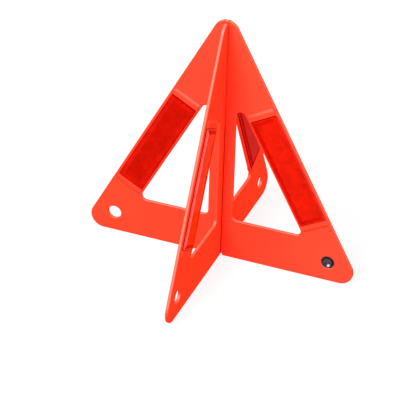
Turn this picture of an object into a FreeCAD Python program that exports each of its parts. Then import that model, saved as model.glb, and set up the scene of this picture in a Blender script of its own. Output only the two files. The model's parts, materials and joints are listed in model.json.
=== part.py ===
import FreeCAD, Part
import math
import os

os.makedirs("parts", exist_ok=True)

# Warning triangle made of two flat triangular plates that slot together at a right angle.
# The main plate stands in the XZ plane and the cross plate in the YZ plane.
# +Z is up, the origin is on the ground under the line where the plates cross.
# Every plate is drawn as the main plate lies: X across, Z up, thickness along Y.
# The cross plate and what it carries are then turned a quarter turn about Z.

Vec = FreeCAD.Vector

# Plates, mm
PLATE_T = 3.2
MAIN_APEX = 276.4      # height at which the straight sloping sides would meet
MAIN_HALF = 150.3      # half width at which a sloping side would meet the ground
MAIN_APEX_R = 13.2
CROSS_APEX = 277.0
CROSS_HALF = 149.0
CROSS_APEX_R = 14.8
FOOT_R = 14.0
EDGE_R = 0.9           # softened moulded edges

# Windows
MAIN_CENTRE_BAR = 12.9      # from the centre line to a window
CROSS_CENTRE_BAR = 14.0
BOTTOM_BAR = 44.2
MAIN_BAR = 33.7             # width of the sloping bars that carry the reflectors
CROSS_BAR = 34.4
WINDOW_R = 5.0

# Corner holes
HOLE_R = 7.0
HOLE_X = 114.3
HOLE_Z = 21.3
HOLE_EDGE_R = 0.6

# Halving joint
SLOT_GAP = 0.5         # clearance on each side of the plate in the slot
MAIN_SLOT_TOP = 148.4
CROSS_SLOT_FLOOR = 148.0
MOUTH_WIDE = 2.4       # extra half width of a slot at its mouth
MOUTH_DEEP = 4.5
SLOT_EDGE_R = 0.5

# Reflector seats; heights and depths are from the face of the plate
REFLECTOR_FROM_FOOT = 139.6   # reflector's middle, up the slope from the unrounded foot
MAIN_REFLECTOR_IN = 16.9      # reflector's middle, in from the sloping edge
CROSS_REFLECTOR_IN = 18.8
LIP_FOOT_L = 66.4             # from the reflector's middle to the foot of an end lip
LIP_TOP_L = 63.8              # and to the far edge of its flat top
LIP_HALF_W = 14.2
LIP_H = 1.0
POCKET_HALF_L = 59.3
POCKET_HALF_W = 14.35
POCKET_DEPTH = 1.1
POCKET_R = 1.0

# Reflector backing sheet and lens; the lenses on the rear and left faces stand lower
BACKING_HALF_L = 58.2
BACKING_HALF_W = 13.9
BACKING_T = 0.3
LENS_HALF_L = 58.5
LENS_HALF_W = 14.2
LENS_R = 0.8
LENS_EDGE_H = 1.5      # height of the lens rim above the plate
LENS_TOP_H = 1.9       # height of the flat prism field above the plate
LOW_EDGE_H = 0.6
LOW_TOP_H = 1.0
LENS_RIM = 0.4
LENS_SLOPE = 4.6       # width of the sloping border
CELL_HALF_L = 53.4
CELL_HALF_W = 9.1
CELL_DEPTH = 0.35      # sealed air cell behind the prism field

# Storage stud, a drawn cup pressed into the main plate's right hole
STUD_R = 6.99
STUD_RIM_Y = -1.5
STUD_NECK_R = 6.6
STUD_END_Y = 4.8
STUD_END_R = 5.6
BOWL_R = 7.2
BOWL_BOTTOM_Y = 2.23
GROOVE_R = 6.0
GROOVE_Y = 3.0
GROOVE_HALF = 0.6
RING_WIRE_R = 0.5
RING_R = 6.6
RING_OPEN = 24.0       # degrees left open in the split ring


def prism(points, radii, y_from, y_to):
    """Upright prism over an XZ polygon, each corner rounded with its own radius."""
    corners = [Vec(x, y_from, z) for x, z in points]
    face = Part.Face(Part.makePolygon(corners + corners[:1]))
    body = face.extrude(Vec(0, y_to - y_from, 0))
    for (x, z), radius in zip(points, radii):
        edges = []
        for edge in body.Edges:
            a = edge.Vertexes[0].Point
            b = edge.Vertexes[-1].Point
            near = all(math.hypot(p.x - x, p.z - z) < 1e-4 for p in (a, b))
            if near and abs(a.y - b.y) > 1e-4:
                edges.append(edge)
        body = body.makeFillet(radius, edges)
    return body


def block(half_l, half_w, low, high, radius):
    """Flat block about the local origin with rounded upright corners."""
    body = Part.makeBox(2 * half_l, 2 * half_w, high - low, Vec(-half_l, -half_w, low))
    edges = []
    for edge in body.Edges:
        a = edge.Vertexes[0].Point
        b = edge.Vertexes[-1].Point
        if abs(a.z - b.z) > 1e-4:
            edges.append(edge)
    return body.makeFillet(radius, edges)


def window(apex, half, bar, centre_bar, side):
    """Triangular window of one wing, a little longer than the plate is thick."""
    slope = math.hypot(apex, half)
    drop = bar * slope / half
    top = apex - drop - apex / half * centre_bar
    wide = (apex - drop - BOTTOM_BAR) * half / apex
    points = [
        (side * centre_bar, BOTTOM_BAR),
        (side * wide, BOTTOM_BAR),
        (side * centre_bar, top),
    ]
    return prism(points, [WINDOW_R] * 3, -PLATE_T, PLATE_T)


def corner_hole(side):
    """Cutter for the round hole near a foot."""
    return Part.makeCylinder(HOLE_R, 2 * PLATE_T, Vec(side * HOLE_X, -PLATE_T, HOLE_Z), Vec(0, 1, 0))


def face_edges(body):
    """Edges that lie on the two faces of a plate, split into hole rims and the rest."""
    rims = []
    others = []
    for edge in body.Edges:
        box = edge.BoundBox
        if box.YLength > 1e-4 or abs(abs(box.YMin) - PLATE_T / 2) > 1e-4:
            continue
        round_rim = isinstance(edge.Curve, Part.Circle) and abs(edge.Curve.Radius - HOLE_R) < 1e-3
        if round_rim:
            rims.append(edge)
        else:
            others.append(edge)
    return rims, others


def seat_placement(apex, half, inset, side, face):
    """Frame of one reflector seat: local Z out of the face, local X up or down the slope.

    side is +1 for the wing at +X and -1 for the other, face is -1 for the face
    at -Y and +1 for the face at +Y.
    """
    slope = math.hypot(apex, half)
    down = Vec(side * half / slope, 0, -apex / slope)
    inward = Vec(-side * apex / slope, 0, -half / slope)
    foot = Vec(side * half, 0, 0)
    middle = foot - down * REFLECTOR_FROM_FOOT + inward * inset
    middle.y = face * PLATE_T / 2
    along = down * (side * face)
    out = Vec(0, face, 0)
    turn = FreeCAD.Matrix(
        along.x, inward.x, out.x, middle.x,
        along.y, inward.y, out.y, middle.y,
        along.z, inward.z, out.z, middle.z,
        0, 0, 0, 1,
    )
    return FreeCAD.Placement(turn)


def placed(body, placement):
    """Copy of a body moved into a placement."""
    copy = body.copy()
    copy.Placement = placement
    return copy


def seat_lips():
    """Low plateau that is cut by the pocket, which leaves a ramped lip at each end of it."""
    outline = [
        (-LIP_FOOT_L, 0.0),
        (-LIP_TOP_L, LIP_H),
        (LIP_TOP_L, LIP_H),
        (LIP_FOOT_L, 0.0),
        (LIP_FOOT_L, -0.3),
        (-LIP_FOOT_L, -0.3),
    ]
    corners = [Vec(x, -LIP_HALF_W, z) for x, z in outline]
    face = Part.Face(Part.makePolygon(corners + corners[:1]))
    body = face.extrude(Vec(0, 2 * LIP_HALF_W, 0))
    crests = []
    for edge in body.Edges:
        box = edge.BoundBox
        if box.YLength > LIP_HALF_W and box.ZMin > LIP_H - 1e-4:
            crests.append(edge)
    return body.makeFillet(1.5, crests)


def seat_pocket():
    """Cutter for the pocket a reflector sits in."""
    return block(POCKET_HALF_L, POCKET_HALF_W, -POCKET_DEPTH, 2.0, POCKET_R)


def slot_cutter(floor, mouth, direction):
    """Slot along the centre line, from its floor to past its flared mouth.

    direction is +1 when the slot opens upwards and -1 when it opens downwards.
    """
    half = PLATE_T / 2 + SLOT_GAP
    beyond = mouth + direction * 30.0
    points = [
        (-half, floor),
        (half, floor),
        (half, mouth - direction * MOUTH_DEEP),
        (half + MOUTH_WIDE, mouth),
        (half + MOUTH_WIDE, beyond),
        (-half - MOUTH_WIDE, beyond),
        (-half - MOUTH_WIDE, mouth),
        (-half, mouth - direction * MOUTH_DEEP),
    ]
    corners = [Vec(x, -2 * PLATE_T, z) for x, z in points]
    face = Part.Face(Part.makePolygon(corners + corners[:1]))
    return face.extrude(Vec(0, 4 * PLATE_T, 0))


def slot_edges(body):
    """Upright edges of a slot's side walls, on both faces of the plate."""
    half = PLATE_T / 2 + SLOT_GAP
    found = []
    for edge in body.Edges:
        box = edge.BoundBox
        upright = box.ZLength > 50.0 and box.XLength < 1e-4 and box.YLength < 1e-4
        if upright and abs(abs(box.XMin) - half) < 1e-4:
            found.append(edge)
    return found


def plate(apex, half, apex_radius, bar, centre_bar, inset, cutter):
    """One triangular plate with windows, holes, reflector seats and its slot."""
    body = prism(
        [(-half, 0), (half, 0), (0, apex)],
        [FOOT_R, FOOT_R, apex_radius],
        -PLATE_T / 2,
        PLATE_T / 2,
    )
    for side in (-1, 1):
        body = body.cut(window(apex, half, bar, centre_bar, side))
        body = body.cut(corner_hole(side))
    rims, others = face_edges(body)
    body = body.makeFillet(EDGE_R, others)
    rims, others = face_edges(body)
    body = body.makeFillet(HOLE_EDGE_R, rims)
    for side in (-1, 1):
        for face in (-1, 1):
            seat = seat_placement(apex, half, inset, side, face)
            body = body.fuse(placed(seat_lips(), seat))
            body = body.cut(placed(seat_pocket(), seat))
    body = body.cut(cutter)
    body = body.makeFillet(SLOT_EDGE_R, slot_edges(body))
    return body.Solids[0]


def main_plate():
    """Main plate, slotted from the ground up to the middle."""
    cutter = slot_cutter(MAIN_SLOT_TOP, 0.0, -1)
    return plate(
        MAIN_APEX, MAIN_HALF, MAIN_APEX_R, MAIN_BAR, MAIN_CENTRE_BAR, MAIN_REFLECTOR_IN, cutter
    )


def cross_plate():
    """Cross plate, slotted from its tip down to the middle."""
    half_angle = math.atan2(CROSS_HALF, CROSS_APEX)
    tip = CROSS_APEX - CROSS_APEX_R * (1 / math.sin(half_angle) - 1)
    cutter = slot_cutter(CROSS_SLOT_FLOOR, tip, 1)
    return plate(
        CROSS_APEX, CROSS_HALF, CROSS_APEX_R, CROSS_BAR, CROSS_CENTRE_BAR, CROSS_REFLECTOR_IN, cutter
    )


def backing():
    """Thin mirrored sheet on the floor of a pocket."""
    return block(BACKING_HALF_L, BACKING_HALF_W, -POCKET_DEPTH, BACKING_T - POCKET_DEPTH, LENS_R)


def lens(edge_height, top_height):
    """Reflector lens: rimmed slab, sloping border, flat prism field, air cell behind."""
    low = BACKING_T - POCKET_DEPTH
    slab = block(LENS_HALF_L, LENS_HALF_W, low, edge_height, LENS_R)
    wires = []
    for inset, height in ((LENS_RIM, edge_height - 0.1), (LENS_RIM + LENS_SLOPE, top_height)):
        x = LENS_HALF_L - inset
        y = LENS_HALF_W - inset
        corners = [Vec(-x, -y, height), Vec(x, -y, height), Vec(x, y, height), Vec(-x, y, height)]
        wires.append(Part.makePolygon(corners + corners[:1]))
    dome = Part.makeLoft(wires, True, True)
    cell = block(CELL_HALF_L, CELL_HALF_W, low - 1.0, low + CELL_DEPTH, LENS_R)
    return slab.fuse(dome).cut(cell).removeSplitter()


def revolve_on_hole(points):
    """Turn a closed (radius, y) outline about the axis of the main plate's right hole."""
    corners = [Vec(HOLE_X + r, y, HOLE_Z) for r, y in points]
    face = Part.Face(Part.makePolygon(corners + corners[:1]))
    return face.revolve(Vec(HOLE_X, 0, HOLE_Z), Vec(0, 1, 0), 360)


def storage_stud():
    """Drawn cup, open at the front, whose closed end stands out of the back of the plate."""
    outer = revolve_on_hole(
        [
            (0, STUD_RIM_Y),
            (STUD_R, STUD_RIM_Y),
            (STUD_R, PLATE_T / 2),
            (STUD_NECK_R, PLATE_T / 2 + 0.2),
            (STUD_NECK_R, GROOVE_Y - GROOVE_HALF),
            (GROOVE_R, GROOVE_Y - GROOVE_HALF),
            (GROOVE_R, GROOVE_Y + GROOVE_HALF),
            (STUD_NECK_R, GROOVE_Y + GROOVE_HALF),
            (STUD_NECK_R, STUD_END_Y - 0.9),
            (STUD_END_R, STUD_END_Y),
            (0, STUD_END_Y),
        ]
    )
    bowl = Part.makeSphere(BOWL_R, Vec(HOLE_X, BOWL_BOTTOM_Y - BOWL_R, HOLE_Z))
    return outer.cut(bowl)


def stud_ring():
    """Split spring ring in the stud's groove, open at the bottom."""
    section = Part.Wire(Part.makeCircle(RING_WIRE_R, Vec(HOLE_X + RING_R, GROOVE_Y, HOLE_Z), Vec(0, 0, 1)))
    ring = Part.Face(section).revolve(Vec(HOLE_X, 0, HOLE_Z), Vec(0, 1, 0), 360 - RING_OPEN)
    ring.rotate(Vec(HOLE_X, 0, HOLE_Z), Vec(0, 1, 0), 90 + RING_OPEN / 2)
    return ring


def quarter_turn(body):
    """Turn a body from the main plate's plane into the cross plate's plane."""
    copy = body.copy()
    copy.rotate(Vec(0, 0, 0), Vec(0, 0, 1), 90)
    return copy


shape = main_plate()
shape.exportStep("parts/main_plate.step")

shape = quarter_turn(cross_plate())
shape.exportStep("parts/cross_plate.step")

LENS_HEIGHTS = {
    "front": (LENS_EDGE_H, LENS_TOP_H),
    "right": (LENS_EDGE_H, LENS_TOP_H),
    "rear": (LOW_EDGE_H, LOW_TOP_H),
    "left": (LOW_EDGE_H, LOW_TOP_H),
}

for side, wing in ((-1, "left_wing"), (1, "right_wing")):
    for face, looks in ((-1, "front"), (1, "rear")):
        seat = seat_placement(MAIN_APEX, MAIN_HALF, MAIN_REFLECTOR_IN, side, face)
        shape = placed(backing(), seat)
        shape.exportStep("parts/" + wing + "_" + looks + "_backing.step")
        shape = placed(lens(*LENS_HEIGHTS[looks]), seat)
        shape.exportStep("parts/" + wing + "_" + looks + "_lens.step")

for side, wing in ((-1, "near_wing"), (1, "far_wing")):
    for face, looks in ((-1, "right"), (1, "left")):
        seat = seat_placement(CROSS_APEX, CROSS_HALF, CROSS_REFLECTOR_IN, side, face)
        shape = quarter_turn(placed(backing(), seat))
        shape.exportStep("parts/" + wing + "_" + looks + "_backing.step")
        shape = quarter_turn(placed(lens(*LENS_HEIGHTS[looks]), seat))
        shape.exportStep("parts/" + wing + "_" + looks + "_lens.step")

shape = storage_stud()
shape.exportStep("parts/storage_stud.step")

shape = stud_ring()
shape.exportStep("parts/stud_ring.step")
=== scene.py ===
import json
import math

import bmesh
import bpy
from mathutils import Matrix, Vector


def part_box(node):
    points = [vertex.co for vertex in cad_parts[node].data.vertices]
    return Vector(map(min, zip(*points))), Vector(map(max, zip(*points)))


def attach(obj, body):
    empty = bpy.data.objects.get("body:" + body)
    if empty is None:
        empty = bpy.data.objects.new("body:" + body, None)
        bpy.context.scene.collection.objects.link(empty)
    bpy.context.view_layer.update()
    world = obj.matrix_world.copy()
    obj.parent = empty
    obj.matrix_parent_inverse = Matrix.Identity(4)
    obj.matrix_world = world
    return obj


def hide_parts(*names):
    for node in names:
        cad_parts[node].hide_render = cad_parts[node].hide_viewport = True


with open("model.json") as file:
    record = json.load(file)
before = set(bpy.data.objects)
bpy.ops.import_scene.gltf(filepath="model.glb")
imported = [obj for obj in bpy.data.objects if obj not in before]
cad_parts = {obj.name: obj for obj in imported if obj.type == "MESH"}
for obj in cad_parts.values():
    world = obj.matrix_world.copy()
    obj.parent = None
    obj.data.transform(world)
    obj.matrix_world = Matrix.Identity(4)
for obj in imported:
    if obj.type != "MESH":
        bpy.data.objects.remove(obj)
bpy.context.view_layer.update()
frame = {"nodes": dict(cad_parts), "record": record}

MM = 0.001
SHARP_ANGLE = math.radians(32)      # faces that meet at more than this stay crisp

# Prismatic sheet behind each lens
PRISM_H = 0.33 * MM                 # top of the prism field above the backing
PRISM_DEPTH = PRISM_H * 0.9         # depth of one three-faced pit
PRISM_SIDE = 2.6 * MM               # side of one pit's triangle
GAP = 0.02 * MM                     # clearance between backing and prisms
SHEET_INSET = 0.2 * MM              # the backing's rim, from the CAD sheet's rim
FIELD_INSET = 5.2 * MM              # the prism field's rim, from the CAD sheet's rim
SHORTEST_EDGE = 5 * MM              # shorter edges belong to rounded corners

# Bands of the plates' and lenses' materials, in metres in object coordinates
CREASE_SHADE_START = (0.00165, 0.00180)      # the painted shade line at the crossing starts over this distance
CREASE_SHADE_END = (0.0022, 0.0032)          # and fades out over this one
LENS_WALL_HIGHLIGHT_FROM = (0.0024, 0.0027)         # distance from the plate's middle where a lens wall's painted shade turns into its painted highlight
RIGHT_SIDE = (-0.002, 0.002)        # X, from the left wing to the right wing; switches the lens to the other wing's painted light and shade
FAR_SIDE = (-0.01, 0.01)            # Y, from the near wing to the far wing; switches the lens to the other wing's painted light and shade

# Light and camera
FLOOR_HALF = 12.0
TRIANGLE_MIDDLE = Vector((0, 0, 0.11))
CAMERA_PLACE = (0.525, -1.442, 1.022)
CAMERA_ANGLES = (-20.78, 32.0, 1.67)        # yaw, pitch down and roll, in degrees
CAMERA_LENS = 164.5                         # mm
CAMERA_SENSOR = 36.0                        # mm

BLACK = (0.0, 0.0, 0.0)
WHITE = (1.0, 1.0, 1.0)


# ---------------------------------------------------------------- node helpers

def new_material(name):
    """An empty node material with a Principled shader; returns (material, tree, shader)."""
    material = bpy.data.materials.new(name)
    material.use_nodes = True
    tree = material.node_tree
    tree.nodes.clear()
    output = tree.nodes.new("ShaderNodeOutputMaterial")
    shader = tree.nodes.new("ShaderNodeBsdfPrincipled")
    tree.links.new(shader.outputs["BSDF"], output.inputs["Surface"])
    return material, tree, shader


def add(tree, kind, **values):
    """One node; keys that name an input set its value, other keys set a property."""
    node = tree.nodes.new("ShaderNode" + kind)
    for key, value in values.items():
        label = key.replace("_", " ")
        if label in node.inputs:
            node.inputs[label].default_value = value
        else:
            setattr(node, key, value)
    return node


def noise(tree, scale, detail=3.0, roughness=0.5):
    """Noise in object coordinates, in features per metre."""
    coords = add(tree, "TexCoord")
    texture = add(tree, "TexNoise", Scale=scale, Detail=detail, Roughness=roughness)
    tree.links.new(coords.outputs["Object"], texture.inputs["Vector"])
    return texture.outputs["Fac"]


def ramp(tree, source, stops):
    """Colour ramp over a value; stops are (position, colour)."""
    node = add(tree, "ValToRGB")
    elements = node.color_ramp.elements
    while len(elements) < len(stops):
        elements.new(0.5)
    for element, (position, colour) in zip(elements, stops):
        element.position = position
        element.color = (*colour, 1.0)
    tree.links.new(source, node.inputs["Fac"])
    return node.outputs["Color"]


def span(tree, source, low, high, start=0.3, end=0.7):
    """Map a value between start and end onto low to high."""
    node = add(tree, "MapRange")
    node.inputs["From Min"].default_value = start
    node.inputs["From Max"].default_value = end
    node.inputs["To Min"].default_value = low
    node.inputs["To Max"].default_value = high
    tree.links.new(source, node.inputs["Value"])
    return node.outputs["Result"]


def mask(tree, source, start, end):
    """0 up to the start, 1 past the end, a straight rise between them."""
    return span(tree, source, 0.0, 1.0, start, end)


def bump(tree, height, distance, strength=1.0, base=None):
    """Bump node over a height; distance is in metres."""
    node = add(tree, "Bump", Distance=distance, Strength=strength)
    tree.links.new(height, node.inputs["Height"])
    if base is not None:
        tree.links.new(base, node.inputs["Normal"])
    return node.outputs["Normal"]


def split(tree, source):
    """The three parts of a vector."""
    parts = add(tree, "SeparateXYZ")
    tree.links.new(source, parts.inputs["Vector"])
    return parts.outputs


def join(tree, operation, first, second):
    """Math node over two links or a number and a link."""
    node = add(tree, "Math", operation=operation)
    for socket, value in zip(node.inputs, (first, second)):
        if isinstance(value, float):
            socket.default_value = value
        else:
            tree.links.new(value, socket)
    return node.outputs["Value"]


def compare(tree, source, operation):
    """Math node over the sizes of a vector's Y and X parts, without their signs."""
    size = add(tree, "VectorMath", operation="ABSOLUTE")
    tree.links.new(source, size.inputs[0])
    parts = split(tree, size.outputs["Vector"])
    return join(tree, operation, parts["Y"], parts["X"])


def blend(tree, factor, first, second):
    """Mix two colours by a factor."""
    node = add(tree, "MixRGB")
    tree.links.new(factor, node.inputs["Fac"])
    tree.links.new(first, node.inputs["Color1"])
    tree.links.new(second, node.inputs["Color2"])
    return node.outputs["Color"]


def tinted(tree, tint, colour):
    """A colour that drifts a little lighter and darker with the tint."""
    return ramp(tree, tint, [
        (0.38, tuple(0.86 * c for c in colour)),
        (0.62, tuple(1.14 * c for c in colour)),
    ])


# ------------------------------------------------------------------- materials

def plate_plastic():
    """Fluorescent red moulded plastic: faint flow marks, satin grain, a painted highlight that
    makes faces and edges facing up paler, and a painted shade line, a darker red, along the
    crossing where the plates meet."""
    material, tree, shader = new_material("plate_plastic")
    flow = noise(tree, 14.0, 4.0, 0.55)
    colour = ramp(tree, flow, [
        (0.25, (0.90, 0.030, 0.0085)),
        (0.50, (0.93, 0.033, 0.0105)),
        (0.75, (0.96, 0.036, 0.0125)),
    ])
    # Painted highlight: faces and edges that face up get a paler red, as if lit from above.
    painted_top_highlight = ramp(tree, flow, [
        (0.25, (0.94, 0.084, 0.049)),
        (0.75, (0.97, 0.092, 0.055)),
    ])
    coords = add(tree, "TexCoord").outputs
    upward = split(tree, coords["Normal"])["Z"]
    colour = blend(tree, mask(tree, upward, 0.15, 0.6), colour, painted_top_highlight)
    # Painted shade: a darker red line along the crossing where the plates meet, where shade falls
    # in the joint.
    painted_crease_shade = ramp(tree, flow, [
        (0.25, (0.66, 0.014, 0.0035)),
        (0.75, (0.72, 0.017, 0.0050)),
    ])
    reach = compare(tree, coords["Object"], "MAXIMUM")
    beyond = mask(tree, reach, *CREASE_SHADE_START)
    within = span(tree, reach, 1.0, 0.0, *CREASE_SHADE_END)
    colour = blend(tree, join(tree, "MULTIPLY", beyond, within), colour, painted_crease_shade)
    tree.links.new(colour, shader.inputs["Base Color"])
    grain = noise(tree, 2600.0, 2.0, 0.6)
    marks = noise(tree, 90.0, 3.0, 0.5)
    tree.links.new(span(tree, marks, 0.44, 0.54), shader.inputs["Roughness"])
    fine = bump(tree, grain, 0.00003, 0.35)
    wave = noise(tree, 35.0, 2.0, 0.4)
    tree.links.new(bump(tree, wave, 0.0004, 0.12, fine), shader.inputs["Normal"])
    slant = add(tree, "LayerWeight", Blend=0.5).outputs["Facing"]
    tree.links.new(span(tree, slant, 0.50, 0.0, 0.0, 0.28), shader.inputs["Specular IOR Level"])
    shader.inputs["IOR"].default_value = 1.5
    return material


def lens_acrylic():
    """Red acrylic over prisms. Its base colour carries painted light and shade: each wing's lens
    and border get their own painted light and shade, a lighter red on the lit wings and a darker
    one on the shaded wings, with a pale painted highlight on the near wing's outer border. The
    walls get a painted highlight at the top of walls that face up, and painted shade where they
    meet the plate and on the other walls."""
    material, tree, shader = new_material("lens_acrylic")
    broad = join(tree, "MULTIPLY", noise(tree, 110.0, 3.0, 0.6), 0.6)
    sparkle = join(tree, "MULTIPLY", noise(tree, 520.0, 2.0, 0.7), 0.4)
    tint = join(tree, "ADD", broad, sparkle)
    coords = add(tree, "TexCoord").outputs
    place = split(tree, coords["Object"])
    on_cross = compare(tree, coords["Object"], "GREATER_THAN")
    upward = split(tree, coords["Normal"])["Z"]
    at_right = mask(tree, place["X"], *RIGHT_SIDE)
    at_far = mask(tree, place["Y"], *FAR_SIDE)
    outer = ramp(tree, upward, [(0.02, BLACK), (0.035, WHITE), (0.07, WHITE), (0.085, BLACK)])
    lean = join(tree, "SUBTRACT", 1.0, compare(tree, coords["Normal"], "MAXIMUM"))
    border = mask(tree, lean, 0.0012, 0.0028)
    wall = mask(tree, lean, 0.05, 0.12)

    def pair(factor, first, second):
        """Two tinted colours mixed by a factor."""
        return blend(tree, factor, tinted(tree, tint, first), tinted(tree, tint, second))

    # Painted light and shade: each wing's field and border get a red made lighter for a lit wing
    # and darker for a shaded one; the near wing's outer border carries a pale painted highlight.
    main_field = pair(at_right, (0.48, 0.0038, 0.0004), (0.59, 0.0085, 0.0018))
    main_border = blend(
        tree, outer,
        pair(at_right, (0.54, 0.0060, 0.0010), (0.49, 0.0042, 0.0004)),
        pair(at_right, (0.57, 0.0066, 0.0018), (0.57, 0.0078, 0.0015)),
    )
    cross_field = pair(at_far, (0.70, 0.0240, 0.0015), (0.46, 0.0030, 0.0008))
    cross_border = blend(
        tree, outer,
        pair(at_far, (0.50, 0.0100, 0.0020), (0.42, 0.0015, 0.0003)),
        pair(at_far, (0.86, 0.1050, 0.0950), (0.50, 0.0150, 0.0090)),
    )
    main_face = blend(tree, border, main_field, main_border)
    cross_face = blend(tree, border, cross_field, cross_border)
    face = blend(tree, on_cross, main_face, cross_face)

    # Painted light and shade on the walls: walls that face up get a pale painted highlight at their
    # top and painted shade where they meet the plate; the other walls get painted shade.
    height = compare(tree, coords["Object"], "MINIMUM")
    raised = mask(tree, height, *LENS_WALL_HIGHLIGHT_FROM)
    rise = ramp(tree, upward, [(0.20, BLACK), (0.40, WHITE), (0.60, WHITE), (0.75, BLACK)])
    upper = pair(raised, (0.24, 0.0060, 0.0030), (0.92, 0.0750, 0.0620))
    rim = blend(tree, rise, tinted(tree, tint, (0.36, 0.0030, 0.0010)), upper)
    tree.links.new(blend(tree, wall, face, rim), shader.inputs["Base Color"])

    haze = noise(tree, 300.0, 4.0, 0.6)
    tree.links.new(span(tree, haze, 0.05, 0.12), shader.inputs["Roughness"])
    wave = noise(tree, 60.0, 2.0, 0.4)
    tree.links.new(bump(tree, wave, 0.0002, 0.15), shader.inputs["Normal"])
    inner = join(tree, "MULTIPLY", border, join(tree, "SUBTRACT", 1.0, outer))
    drop = join(tree, "MULTIPLY", inner, span(tree, on_cross, 0.0, 0.028, 0.0, 1.0))
    index = join(tree, "SUBTRACT", span(tree, on_cross, 1.07, 1.03, 0.0, 1.0), drop)
    tree.links.new(index, shader.inputs["IOR"])
    tree.links.new(span(tree, on_cross, 0.35, 0.08, 0.0, 1.0), shader.inputs["Transmission Weight"])
    return material


def backing_sheet():
    """Metallised plastic sheet."""
    material, tree, shader = new_material("backing_sheet")
    patch = noise(tree, 250.0, 3.0, 0.5)
    colour = ramp(tree, patch, [
        (0.3, (0.86, 0.86, 0.87)),
        (0.7, (0.92, 0.92, 0.93)),
    ])
    tree.links.new(colour, shader.inputs["Base Color"])
    tree.links.new(span(tree, patch, 0.24, 0.34), shader.inputs["Roughness"])
    shader.inputs["Metallic"].default_value = 1.0
    return material


def plated_metal(name, dark, light, scratch):
    """Metal with fine wear, whose roughness is scratch at most."""
    material, tree, shader = new_material(name)
    wear = noise(tree, 700.0, 5.0, 0.65)
    colour = ramp(tree, wear, [(0.3, dark), (0.75, light)])
    tree.links.new(colour, shader.inputs["Base Color"])
    tree.links.new(span(tree, wear, 0.55 * scratch, scratch), shader.inputs["Roughness"])
    tree.links.new(bump(tree, noise(tree, 1500.0, 3.0), 0.00004, 0.3), shader.inputs["Normal"])
    shader.inputs["Metallic"].default_value = 1.0
    return material


def light_table():
    """Softly lit pale table: most of its white comes from below, so shadows stay faint."""
    material, tree, shader = new_material("light_table")
    tooth = noise(tree, 6.0, 3.0, 0.5)
    colour = ramp(tree, tooth, [
        (0.3, (0.115, 0.115, 0.115)),
        (0.7, (0.125, 0.125, 0.125)),
    ])
    tree.links.new(colour, shader.inputs["Base Color"])
    glow = ramp(tree, tooth, [
        (0.3, (0.98, 0.98, 0.98)),
        (0.7, (1.00, 1.00, 1.00)),
    ])
    tree.links.new(glow, shader.inputs["Emission Color"])
    shader.inputs["Emission Strength"].default_value = 0.85
    shader.inputs["Roughness"].default_value = 0.9
    shader.inputs["Specular IOR Level"].default_value = 0.05
    return material


MATERIALS = {
    "plate_plastic": plate_plastic(),
    "lens_acrylic": lens_acrylic(),
    "backing_sheet": backing_sheet(),
    "stud_nickel": plated_metal(
        "stud_nickel", dark=(0.058, 0.050, 0.058), light=(0.092, 0.082, 0.094), scratch=0.30),
    "spring_wire": plated_metal(
        "spring_wire", dark=(0.45, 0.45, 0.46), light=(0.62, 0.62, 0.62), scratch=0.35),
}


def dress(piece, slot):
    """Give a piece the material of the record's slot it belongs to."""
    piece.data.materials.clear()
    piece.data.materials.append(MATERIALS[slot])


def new_piece(name, data):
    """A new object in the scene."""
    piece = bpy.data.objects.new(name, data)
    bpy.context.scene.collection.objects.link(piece)
    return piece


# ------------------------------------------------------- pieces from the frame

slots = {part["node"]: part["material_slot"] for part in frame["record"]["subparts"]}
bodies = {
    node: body
    for body, nodes in frame["record"]["behaviour"]["bodies"].items()
    for node in nodes
}
for node, piece in frame["nodes"].items():
    dress(piece, slots[node])
    piece.data.shade_smooth()
    piece.data.set_sharp_from_angle(angle=SHARP_ANGLE)


# ---------------------------------------------------------- prismatic backings

def sheet_frame(node):
    """Local frame of a thin rectangular sheet: (matrix, half length, half width, thickness).

    Local X runs along the sheet, Y across it and Z out of the plate, from the
    sheet's inner face. Of all its edge directions, the one with the tightest
    rectangle round the sheet is its length.
    """
    mesh = frame["nodes"][node].data
    points = [v.co.copy() for v in mesh.vertices]
    low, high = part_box(node)
    middle = (low + high) / 2
    size = high - low
    thin = min(range(3), key=lambda i: size[i])
    out = Vector((0, 0, 0))
    out[thin] = math.copysign(1.0, middle[thin])

    def reach(direction):
        return max(abs((p - middle).dot(direction)) for p in points)

    best = None
    for edge in mesh.edges:
        along = points[edge.vertices[0]] - points[edge.vertices[1]]
        along[thin] = 0.0
        if along.length < SHORTEST_EDGE:
            continue
        along.normalize()
        area = reach(along) * reach(out.cross(along))
        if best is None or area < best[0]:
            best = (area, along)
    along = best[1]
    if reach(along) < reach(out.cross(along)):
        along = out.cross(along)
    across = out.cross(along)
    turn = Matrix((along, across, out)).transposed().to_4x4()
    origin = middle - out * size[thin] / 2
    return Matrix.Translation(origin) @ turn, reach(along), reach(across), size[thin]


def add_slab(mesh, half_l, half_w, low, high):
    """Closed box in a bmesh."""
    corners = [
        mesh.verts.new((x, y, z))
        for z in (low, high)
        for x, y in ((-half_l, -half_w), (half_l, -half_w), (half_l, half_w), (-half_l, half_w))
    ]
    mesh.faces.new(corners[3::-1])
    mesh.faces.new(corners[4:])
    for i in range(4):
        j = (i + 1) % 4
        mesh.faces.new((corners[i], corners[j], corners[j + 4], corners[i + 4]))


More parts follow.
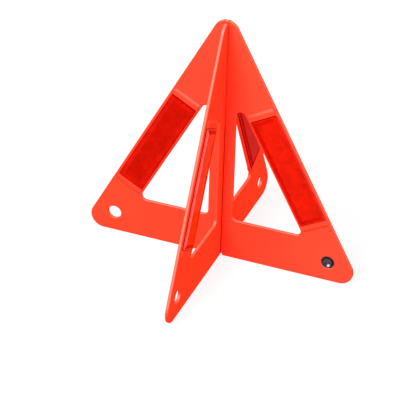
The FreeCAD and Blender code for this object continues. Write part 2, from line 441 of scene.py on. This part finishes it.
def add_prisms(mesh, half_l, half_w, low, high, depth):
    """Closed block whose top is a field of triangular three-faced pits of the given depth."""
    count = round(2 * half_l / PRISM_SIDE)
    side = 2 * half_l / count
    row_h = side * math.sqrt(3) / 2
    rows = max(1, int(2 * half_w / row_h))
    top_w = rows * row_h / 2
    lines = []
    for j in range(rows + 1):
        y = -top_w + j * row_h
        if j % 2 == 0:
            xs = [-half_l + i * side for i in range(count + 1)]
        else:
            xs = [-half_l] + [-half_l + (i + 0.5) * side for i in range(count)] + [half_l]
        lines.append([mesh.verts.new((x, y, high)) for x in xs])

    def pit(a, b, c):
        """Three faces that meet at the bottom of a pit under a triangle."""
        middle = (a.co + b.co + c.co) / 3
        bottom = mesh.verts.new((middle.x, middle.y, high - depth))
        for p, q in ((a, b), (b, c), (c, a)):
            mesh.faces.new((p, q, bottom))

    for j in range(rows):
        even, odd = (lines[j], lines[j + 1]) if j % 2 == 0 else (lines[j + 1], lines[j])
        flip = j % 2 == 1

        def oriented(a, b, c):
            return (a, c, b) if flip else (a, b, c)

        for i in range(count):
            pit(*oriented(even[i], even[i + 1], odd[i + 1]))
        for i in range(1, count):
            pit(*oriented(odd[i], even[i], odd[i + 1]))
        mesh.faces.new(oriented(even[0], odd[1], odd[0]))
        mesh.faces.new(oriented(even[count], odd[count + 1], odd[count]))
    rim = [line[0] for line in reversed(lines)] + lines[0][1:]
    rim += [line[-1] for line in lines[1:]] + lines[-1][-2:0:-1]
    floor = [mesh.verts.new((v.co.x, v.co.y, low)) for v in rim]
    for i in range(len(rim)):
        j = (i + 1) % len(rim)
        mesh.faces.new((rim[j], rim[i], floor[i], floor[j]))
    mesh.faces.new(list(reversed(floor)))


def prism_sheet(node):
    """Mirrored sheet in place of a plain backing: flat rim, prism field in the air cell."""
    place, half_l, half_w, thick = sheet_frame(node)
    work = bmesh.new()
    add_slab(work, half_l - SHEET_INSET, half_w - SHEET_INSET, 0.0, thick - GAP)
    add_prisms(
        work, half_l - FIELD_INSET, half_w - FIELD_INSET,
        thick + GAP, thick + PRISM_H, PRISM_DEPTH,
    )
    bmesh.ops.recalc_face_normals(work, faces=work.faces)
    data = bpy.data.meshes.new(node.replace("backing", "prisms"))
    work.to_mesh(data)
    work.free()
    data.transform(place)
    piece = new_piece(data.name, data)
    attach(piece, bodies[node])
    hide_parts(node)
    dress(piece, "backing_sheet")


for node in sorted(slots):
    if node.endswith("_backing"):
        prism_sheet(node)


# ------------------------------------------------------- floor, light, camera

def studio():
    """Pale floor and surroundings, a large soft lamp from the upper left and a weak one at
    the right, which leaves no highlight of its own."""
    floor = bmesh.new()
    bmesh.ops.create_grid(floor, x_segments=8, y_segments=8, size=FLOOR_HALF)
    data = bpy.data.meshes.new("studio_floor")
    floor.to_mesh(data)
    floor.free()
    data.materials.append(light_table())
    piece = new_piece("studio_floor", data)

    world = bpy.data.worlds.new("studio_world")
    world.use_nodes = True
    background = world.node_tree.nodes["Background"]
    background.inputs["Color"].default_value = (*WHITE, 1.0)
    background.inputs["Strength"].default_value = 0.70
    bpy.context.scene.world = world

    lamp("key_lamp", position=(-0.9, -1.86, 2.2), size=1.8, power=165.0)
    fill = lamp("fill_lamp", position=(2.2, -0.5, 0.9), size=1.4, power=38.0)
    fill.visible_glossy = False


def lamp(name, position, size, power):
    """Square soft lamp aimed at the middle of the triangle."""
    data = bpy.data.lights.new(name, "AREA")
    data.size = size
    data.energy = power
    piece = new_piece(name, data)
    piece.location = position
    aim = TRIANGLE_MIDDLE - Vector(position)
    piece.rotation_euler = aim.to_track_quat("-Z", "Y").to_euler()
    return piece


def camera():
    """Camera at the photographed angle: from the right front, looking down."""
    yaw, pitch, roll = (math.radians(v) for v in CAMERA_ANGLES)
    ahead = Vector((
        math.sin(yaw) * math.cos(pitch),
        math.cos(yaw) * math.cos(pitch),
        -math.sin(pitch),
    ))
    level = Vector((math.cos(yaw), -math.sin(yaw), 0.0))
    rise = level.cross(ahead)
    right = math.cos(roll) * level + math.sin(roll) * rise
    up = -math.sin(roll) * level + math.cos(roll) * rise
    data = bpy.data.cameras.new("camera")
    data.sensor_width = CAMERA_SENSOR
    data.lens = CAMERA_LENS
    data.clip_start, data.clip_end = 0.1, 50.0
    turn = Matrix((right, up, -ahead)).transposed().to_4x4()
    piece = new_piece("camera", data)
    piece.matrix_world = Matrix.Translation(CAMERA_PLACE) @ turn
    bpy.context.scene.camera = piece


studio()
camera()
bpy.context.scene.view_settings.view_transform = "Standard"
